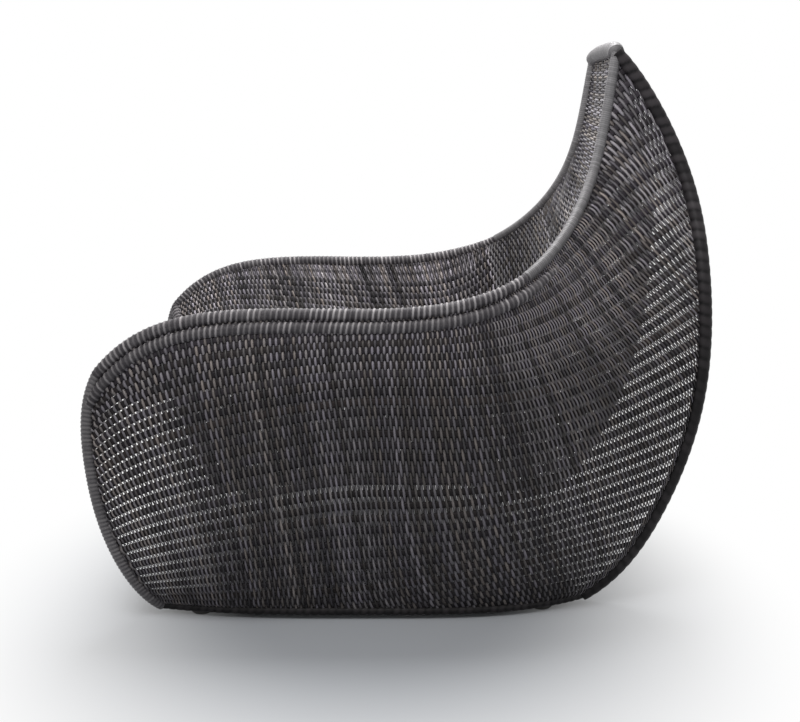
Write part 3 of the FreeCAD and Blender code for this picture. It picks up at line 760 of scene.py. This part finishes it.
def side_rods(name, side, sizes):
    """Rods along the rows of the side, each from where its row starts to the rear rim.

    The upper rows start at the wing's ridge, the middle ones in front and the lower ones at the base.
    """
    u = np.linspace(0, 1, SIDE_EDGE_STATIONS)
    lead = row_lead(u, sizes)
    base = np.maximum.accumulate(side_row_count(u, sizes) - lead) + u * NEAR
    number = np.arange(1 - math.ceil(sizes.lead_rows), math.ceil(base[-1]))
    start = np.where(number > 0, np.interp(number, base, u), np.interp(-number, lead + u * NEAR, u))
    start = np.where((number > 0) & (number < base[0]), 0, start)
    share = start[:, None] + (1 - start[:, None]) * np.linspace(0, 1, SIDE_ROD_STATIONS)
    level = np.clip(row_level(share, number[:, None], sizes), 0, 1)
    tone = strand_tones(len(number), SIDE_ROD_SEED)
    return flat_rods(name, side, side_point, share, level, tone, sizes)


def inner_places(sizes):
    """Shares u a strand pitch apart along one level of the inside, a lead away from lip and crest."""
    u = np.linspace(0, 1, LEVEL_STATIONS)
    length = run_lengths(inner_point(u, np.full_like(u, EVEN_LEVEL)))
    count = int(round((length[-1] - 2 * END_LEAD) / sizes.strand_pitch)) + 1
    return np.interp(np.linspace(END_LEAD, length[-1] - END_LEAD, count), length, u)


def inner_row_count(u, sizes):
    """Rods from the middle to the ridge: half the section's length over the rod pitch."""
    place, level = (np.linspace(0, 1, count) for count in SECTION_STATIONS)
    length = run_lengths(inner_point(place[:, None], level[None, :]))[:, -1]
    return np.interp(u, place, length) / sizes.rod_pitch


def inner_strands(name, places, sizes, first, open_cover, under, lift, shade_lines):
    """Strands from ridge to ridge over the inside, with painted shade along every other rod by a power of a
    cosine.
    """
    edge = from_ridge(inner_point, places, INNER_EDGE, 0.0, 1.0)[:, None]
    q = edge + (2 - 2 * edge) * np.linspace(0, 1, STRAND_STATIONS)
    u = np.broadcast_to(places[:, None], q.shape)
    ground = inner_point(u, q)
    out = -facing(inner_point, u, q)
    gap = np.linalg.norm(np.gradient(ground, axis=0), axis=-1)
    row = inner_row_count(u, sizes) * (1 - q)
    number = first + np.arange(len(places))[:, None]
    # Painted shade lines along every other rod.
    painted_shading = 1 - shade_lines * np.cos(np.pi / 2 * (row - 1)) ** LINE_POWER
    return woven(name, 1.0, ground, out, gap, row, number, open_cover, under, painted_shading, lift, sizes)


def inner_rods(name, sizes):
    """Rods along seat and back: each keeps its distance from the middle until the ridge closes in."""
    u = np.linspace(0, 1, INNER_EDGE_STATIONS)
    edge = from_ridge(inner_point, u, INNER_EDGE, 0.0, 1.0)
    rows = inner_row_count(u, sizes) * (1 - edge)
    number = np.arange(0, int(rows.max()) + 1)
    falling = np.minimum.accumulate(rows)
    end = np.interp(number, falling[::-1], u[::-1])
    fits = number < rows[0]
    number, end = number[fits], end[fits]
    number = np.concatenate((-number[:0:-1], number))
    end = np.concatenate((end[:0:-1], end))
    share = end[:, None] * np.linspace(0, 1, INNER_ROD_STATIONS)
    level = 1 - number[:, None] / inner_row_count(share, sizes)
    # Painted light: the rods grow paler towards the back, like the back cane.
    tone = strand_tones(len(number), INNER_ROD_SEED) * fade_in(share, PALE_RODS)[..., None]
    return flat_rods(name, 1.0, inner_point, share, level, tone, sizes)


class ARMCHAIR_OT_side_weave(bpy.types.Operator):
    """Weave the two sides of the shell"""

    bl_idname = "armchair.side_weave"
    bl_label = "Side weave"

    def execute(self, context):
        sizes = context.scene.cane_sizes
        rows, paths = strand_paths(sizes)
        gaps = strand_gaps(rows, paths, sizes)
        parts = ("front", "middle", "rear")
        bounds = np.linspace(0, len(paths), len(parts) + 1).astype(int)
        for name, side in SIDES.items():
            rods = side_rods(f"{name}_side_rods", side, sizes)
            finish_piece(rods, "dark rods", "woven_cane", f"{name}_side_panel")
            for part, first, last in zip(parts, bounds[:-1], bounds[1:]):
                label = f"{name}_side_strands_{part}"
                part_paths, part_gaps = paths[first:last], gaps[first:last]
                piece = side_strands(label, side, rows, part_paths, part_gaps, int(first), sizes)
                finish_piece(piece, "woven cane", "woven_cane", f"{name}_side_panel")
        return {"FINISHED"}


class ARMCHAIR_OT_inner_weave(bpy.types.Operator):
    """Weave the seat, the arm linings and the back"""

    bl_idname = "armchair.inner_weave"
    bl_label = "Seat and back weave"

    def execute(self, context):
        sizes = context.scene.cane_sizes
        places = inner_places(sizes)
        bounds = [0, *np.searchsorted(places, INNER_PARTS), len(places)]
        lined = (sizes.open_cover, INNER_UNDER, 1.0, LINING_SHADE_LINES)
        plain = (CLOSED, BACK_UNDER, BACK_LIFT, 0.0)
        panels = (
            ("seat_strands_front", lined, "inner cane", ("seat_panel",)),
            ("seat_strands_rear", lined, "inner cane", ("left_arm_lining", "right_arm_lining")),
            ("back_strands", plain, "back cane", ("backrest_panel",)),
        )
        for (name, look, finish, nodes), first, last in zip(panels, bounds[:-1], bounds[1:]):
            piece = inner_strands(name, places[first:last], sizes, int(first), *look)
            finish_piece(piece, finish, "woven_cane", *nodes)
        rods = inner_rods("seat_and_back_rods", sizes)
        finish_piece(rods, "inner rods", "woven_cane", "seat_panel", "backrest_panel")
        return {"FINISHED"}


def wrapped_pole(
    name, path, side, radius, pitch, groove, toward=ACROSS, open_share=GROOVE_SHARE, tight=1.0, thin=0.0
):
    """Pole wound with cane: each turn stands up round over a sunk groove.

    The height of a turn is the root of what the winding angle's sine has above the groove's share.
    """
    share = np.linspace(0, 1, PATH_STATIONS)
    length = run_lengths(path(share))
    count = int(length[-1] / pitch * TURN_STATIONS)
    place = np.interp(np.linspace(0, length[-1], count), length, share)
    centres = path(place)[None]
    turns = np.gradient(run_lengths(centres)[0]) / (pitch * (1 + (tight - 1) * fade_in(place, TIGHT_PLACE)))
    wind = np.cumsum(turns)[None, :, None] - np.arange(WRAP_CORNERS) / WRAP_CORNERS
    height = np.clip((np.abs(np.sin(np.pi * wind)) - open_share) / (1 - open_share), 0, 1) ** 0.5
    radii = (radius * (1 - thin * fade_in(place, THIN_PLACE)))[None, :, None]
    middle = centres[:, :, None]
    spokes = tube_rings(centres, np.array(toward, float), 1.0, 1.0, WRAP_CORNERS) - middle
    rings = middle + spokes * (radii - groove * (1 - height))[..., None]
    chance = np.random.default_rng(int(radius * WRAP_SEED))
    tones = chance.random(int(wind.max()) + SPARE_TURNS)
    tone = (WRAP_TONE + (1 - WRAP_TONE) * tones[np.floor(wind + 1).astype(int)]) * height
    return tube_object(name, rings, side, tone)


def edge_path(edge, first=0.0, last=1.0):
    """Line along an edge of the shell, from its first share to its last."""
    return lambda share: spline(edge, first + (last - first) * share)


def rear_path(share):
    """Line of the rear rim, bowed out by half a sine wave."""
    return spline(REAR_EDGE, share) + REAR_BOW * np.sin(np.pi * share)[..., None] * np.array(ONWARD)


def border_path(u):
    """Line of the second roll of the arm: a drop below the ridge, sunk behind the weave along the wing."""
    level = from_ridge(side_point, u, BORDER_DROP, 1.0, -1.0)
    sink = BORDER_SINK * fade_in(u, SINK_PLACE)
    return side_point(u, level) + sink[..., None] * facing(side_point, u, level)


def lip_path(share):
    """Line of the seat's front lip from arm to arm."""
    return inner_point(0 * share, 2 * share)


def crest_path(share):
    """Line of the crest from wing to wing, arched by half a sine wave."""
    arch = CREST_ARCH * np.sin(np.pi * share)[..., None] * np.array(UPWARD)
    return inner_point(0 * share + 1, 2 * share) + arch


# Rims: line, finish, radius in millimetres, turn as a share of the wrap pitch, depth of the grooves, and
# where needed the side its rings start from, the groove's share, the tightening and the thinning.
RIMS = {
    "front_pole": (edge_path(FRONT_EDGE), "front rim wrapping", 11.0, 0.75, 0.9, {"open_share": 0.5}),
    "rear_pole": (rear_path, "rear rim wrapping", 12.5, 2.0, 0.7, {"open_share": 0.3}),
    "arm_rail": (edge_path(RIDGE, last=ROLL_END), "arm roll wrapping", 12.0, 1.0, 1.2, {"thin": 0.3}),
    "arm_border": (border_path, "border roll wrapping", 11.0, 1.0, 1.2, {"tight": 0.85, "thin": 0.15}),
    # The wing band is a smooth binding along the ridge, kept lighter than the cane as a painted highlight
    # on the ridge's crown.
    "wing_band": (edge_path(RIDGE, BAND_START), "smooth band", 9.5, 0.4, 0.35, {"open_share": 0.2}),
    "base_edge": (edge_path(BASE_EDGE), "rear rim wrapping", 8.0, 1.5, 0.6, {"open_share": 0.3}),
    "seat_lip": (lip_path, "arm roll wrapping", 12.0, 1.0, 2.2, {"toward": (0, 0.1, 1)}),
    "crest": (crest_path, "smooth band", 15.0, 0.4, 0.4, {"toward": ONWARD, "open_share": 0.2}),
}


class ARMCHAIR_OT_rims(bpy.types.Operator):
    """Wrap the rims, the arm rolls, the crest and the seat lip with cane"""

    bl_idname = "armchair.rims"
    bl_label = "Wrapped rims"

    def execute(self, context):
        pitch = context.scene.cane_sizes.wrap_pitch
        rows = []
        for name, side in SIDES.items():
            for rim in ("front_pole", "rear_pole", "arm_rail", "arm_border"):
                rows.append((f"{name}_{rim}_wrap", side, rim, f"{name}_{rim}"))
            # Wing band: a binding whose light colour is partly a painted highlight on the ridge's crown.
            rows.append((f"{name}_wing_band", side, "wing_band", f"{name}_arm_rail"))
            rows.append((f"{name}_base_edge_wrap", side, "base_edge", f"{name}_side_panel"))
        rows.append(("seat_lip_wrap", 1.0, "seat_lip", "seat_front_rail"))
        rows.append(("crest_wrap", 1.0, "crest", "crest_rail"))
        for name, side, rim, node in rows:
            path, finish, radius, turn, groove, shape = RIMS[rim]
            piece = wrapped_pole(name, path, side, radius, turn * pitch, groove, **shape)
            finish_piece(piece, finish, "wrapped_pole", node)
        return {"FINISHED"}


def base_rail_path(share):
    """Line of the base rail: inside the base edge by its radius and the weave, at one height."""
    run = unit(spline(BASE_EDGE, share + NEAR) - spline(BASE_EDGE, share - NEAR))
    inward = np.stack((run[..., 1], -run[..., 0], 0 * share), axis=-1)
    point = spline(BASE_EDGE, share) + (RAIL_RADIUS + BEHIND) * inward
    point[..., 2] = RAIL_HEIGHT
    return point


def rib_path(u):
    """Line of a side rib: behind the side at one place, from the base to the ridge."""
    return lambda q: side_point(u, q) + (RIB_RADIUS + BEHIND) * facing(side_point, u + 0 * q, q)


def below_path(q, drop):
    """Line along the chair at one level of the inside, a drop below it."""
    return lambda u: inner_point(u, q) + drop * facing(inner_point, u, q + 0 * u)


def section_path(u, drop):
    """Line across the chair at one place of the inside, a drop below it."""
    return lambda share: inner_point(u, 2 * share) + drop * facing(inner_point, u + 0 * share, 2 * share)


def stretcher_path(place):
    """Straight line from the right base rail to the left one at a place along the chair."""
    rail = base_rail_path(np.linspace(0, 1, PATH_STATIONS))
    half = np.interp(place, rail[:, 0], rail[:, 1])
    return lambda t: np.stack((place + 0 * t, half * (1 - 2 * t), RAIL_HEIGHT + 0 * t), axis=-1)


def pole_span(node, path, radius):
    """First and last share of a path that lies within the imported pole, by the distance to its corners."""
    corners = np.empty(3 * len(node.data.vertices))
    node.data.vertices.foreach_get("co", corners)
    share = np.linspace(0, 1, SPAN_STATIONS)
    away = path(share)[:, None] - PER_METRE * corners.reshape(1, -1, 3)
    held = share[np.linalg.norm(away, axis=-1).min(axis=1) < POLE_REACH * radius]
    return held[0], held[-1]


def bare_pole(name, path, span, radius, toward, side):
    """Smooth pole with the knuckles of rattan: the radius swells by a narrow bell at even distances."""
    share = np.linspace(*span, POLE_STATIONS)
    length = run_lengths(path(share))
    gone = np.linspace(0, length[-1], max(int(length[-1] / POLE_STEP), LEAST_STEPS))
    centres = path(np.interp(gone, length, share))[None]
    knuckle = np.exp(-((gone % KNUCKLE_PITCH - KNUCKLE_PITCH / 2) / KNUCKLE_WIDTH) ** 2)[None]
    size = radius * (1 + KNUCKLE_SWELL * knuckle)
    rings = tube_rings(centres, np.array(toward, float), size, size, POLE_CORNERS)
    return tube_object(name, rings, side, (POLE_TONE - KNUCKLE_SHADE * knuckle)[..., None])


class ARMCHAIR_OT_frame_poles(bpy.types.Operator):
    """Bend the bare poles, stain them and colour the glides"""

    bl_idname = "armchair.frame_poles"
    bl_label = "Bare poles and glides"

    def execute(self, context):
        for name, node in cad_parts.items():
            node.data.materials.clear()
            finish = "moulded glide" if name == "foot_glides" else "stained pole"
            node.data.materials.append(cane_material(finish))
        paired = {
            "base_rail": (base_rail_path, RAIL_RADIUS, UPWARD),
            "seat_side_rail": (below_path(LINING_LEVEL, SEAT_RADIUS + BEHIND), SEAT_RADIUS, ACROSS),
            "back_rib": (below_path(BACK_RIB_LEVEL, RIB_RADIUS + BEHIND), RIB_RADIUS, ACROSS),
        }
        single = {"seat_rear_hoop": (section_path(HOOP_PLACE, SEAT_RADIUS + BEHIND), SEAT_RADIUS, ONWARD)}
        for place, u in RIB_PLACES.items():
            stretcher = stretcher_path(STRETCHER_PLACES[place])
            paired[f"{place}_side_rib"] = (rib_path(u), RIB_RADIUS, ONWARD)
            single[f"{place}_seat_bearer"] = (section_path(u, BEARER_DROP), BEARER_RADIUS, ONWARD)
            single[f"{place}_base_stretcher"] = (stretcher, RIB_RADIUS, UPWARD)
        poles = [(name, 1.0, name, *shape) for name, shape in single.items()]
        for end, side in SIDES.items():
            poles += [(f"{end}_{name}", side, f"right_{name}", *shape) for name, shape in paired.items()]
        for name, side, measured, path, radius, toward in poles:
            span = pole_span(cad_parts[measured], path, radius)
            piece = bare_pole(f"{name}_pole", path, span, radius, toward, side)
            finish_piece(piece, "stained pole", "bare_pole", name)
        return {"FINISHED"}


def show_white(tree, shader, kind, output, share=None):
    """Show white, times a share, to the camera, reflections and clear bodies, the shader to other rays."""
    white = add_node(tree, kind, {"Color": WHITE, "Strength": 1.0})
    path = add_node(tree, "ShaderNodeLightPath")
    mirrored = add_node(tree, "ShaderNodeMath", operation="MAXIMUM")
    seen = add_node(tree, "ShaderNodeMath", operation="MAXIMUM")
    mix = add_node(tree, "ShaderNodeMixShader")
    join(
        tree,
        (path, "Is Camera Ray", mirrored, 0),
        (path, "Is Glossy Ray", mirrored, 1),
        (mirrored, "Value", seen, 0),
        (path, "Is Transmission Ray", seen, 1),
        (shader, 0, mix, 1),
        (white, 0, mix, 2),
        (mix, 0, output, "Surface"),
    )
    if share is not None:
        part = add_node(tree, "ShaderNodeMath", operation="MULTIPLY")
        join(tree, (seen, "Value", part, 0), (share, "Result", part, 1))
        seen = part
    join(tree, (seen, "Value", mix, 0))


def floor_paint(colour):
    """Pale floor that takes the chair's shadow and fades to plain white by the distance from it."""
    paint = bpy.data.materials.new("studio floor paint")
    paint.use_nodes = True
    tree = paint.node_tree
    shader = tree.nodes["Principled BSDF"]
    shader.inputs["Base Color"].default_value = (*colour, 1)
    shader.inputs["Roughness"].default_value = FLOOR_ROUGHNESS
    place = add_node(tree, "ShaderNodeTexCoord")
    centred = add_node(tree, "ShaderNodeMapping", FLOOR_PART)
    distance = add_node(tree, "ShaderNodeVectorMath", operation="LENGTH")
    fade = add_node(tree, "ShaderNodeMapRange", FLOOR_FADE, interpolation_type="SMOOTHSTEP")
    join(
        tree,
        (place, "Object", centred, "Vector"),
        (centred, "Vector", distance, 0),
        (distance, "Value", fade, "Value"),
    )
    show_white(tree, shader, "ShaderNodeEmission", tree.nodes["Material Output"], fade)
    return paint


def floor_grid(size, cells):
    """Flat square floor: an even grid at height zero."""
    line = np.linspace(-size / 2, size / 2, cells + 1)
    x, y = np.meshgrid(line, line, indexing="ij")
    points = np.stack((x, y, np.zeros_like(x)), axis=-1).reshape(-1, 3)
    index = np.arange(len(points)).reshape(cells + 1, cells + 1)
    corners = (index[:-1, :-1], index[1:, :-1], index[1:, 1:], index[:-1, 1:])
    mesh = bpy.data.meshes.new("studio_floor")
    mesh.from_pydata(points.tolist(), [], np.stack(corners, axis=-1).reshape(-1, 4).tolist())
    return new_object("studio_floor", mesh)


def softbox(name, place, aim, size, power):
    """Square area lamp at a place, turned towards its aim."""
    lamp = bpy.data.lights.new(name, "AREA")
    lamp.size = size
    lamp.energy = power
    holder = new_object(name, lamp)
    holder.location = place
    way = Vector(aim) - Vector(place)
    holder.rotation_euler = way.to_track_quat("-Z", "Y").to_euler()


class ARMCHAIR_OT_stage(bpy.types.Operator):
    """Set the studio floor, the soft light and the camera"""

    bl_idname = "armchair.stage"
    bl_label = "Stage"

    def execute(self, context):
        scene = context.scene
        scene.view_settings.view_transform = "Standard"
        floor = floor_grid(FLOOR_SIZE, FLOOR_CELLS)
        floor.data.materials.append(floor_paint(scene.cane_colours.floor))
        world = bpy.data.worlds.new("studio")
        scene.world = world
        world.use_nodes = True
        tree = world.node_tree
        sky = tree.nodes["Background"]
        sky.inputs["Color"].default_value = WHITE
        sky.inputs["Strength"].default_value = SKY_STRENGTH
        show_white(tree, sky, "ShaderNodeBackground", tree.nodes["World Output"])
        for name, lamp in LAMPS.items():
            softbox(name, *lamp)
        lens = bpy.data.cameras.new("photo camera")
        lens.sensor_width = FILM_WIDTH
        lens.lens = FOCAL_LENGTH
        camera = new_object("photo camera", lens)
        camera.location = CAMERA_PLACE
        camera.rotation_euler = (math.radians(CAMERA_ANGLE), 0, 0)
        scene.camera = camera
        return {"FINISHED"}


class ARMCHAIR_PT_panel(bpy.types.Panel):
    """Panel that lists the armchair's pieces"""

    bl_label = "Armchair"
    bl_space_type = "VIEW_3D"
    bl_region_type = "UI"
    bl_category = "Armchair"

    def draw(self, context):
        for operator in OPERATORS:
            self.layout.operator(operator.bl_idname)


OPERATORS = (
    ARMCHAIR_OT_frame_poles,
    ARMCHAIR_OT_side_weave,
    ARMCHAIR_OT_inner_weave,
    ARMCHAIR_OT_rims,
    ARMCHAIR_OT_stage,
)
CLASSES = (CaneSizes, CaneColours, *OPERATORS, ARMCHAIR_PT_panel)


def register():
    """Register the classes and hang the settings on the scene."""
    for item in CLASSES:
        bpy.utils.register_class(item)
    bpy.types.Scene.cane_sizes = bpy.props.PointerProperty(type=CaneSizes)
    bpy.types.Scene.cane_colours = bpy.props.PointerProperty(type=CaneColours)


def unregister():
    """Remove the settings and the classes."""
    del bpy.types.Scene.cane_sizes
    del bpy.types.Scene.cane_colours
    for item in reversed(CLASSES):
        bpy.utils.unregister_class(item)


def main():
    """Make every piece and the stage."""
    register()
    bpy.ops.armchair.frame_poles()
    bpy.ops.armchair.side_weave()
    bpy.ops.armchair.inner_weave()
    bpy.ops.armchair.rims()
    bpy.ops.armchair.stage()


if __name__ == "__main__":
    main()
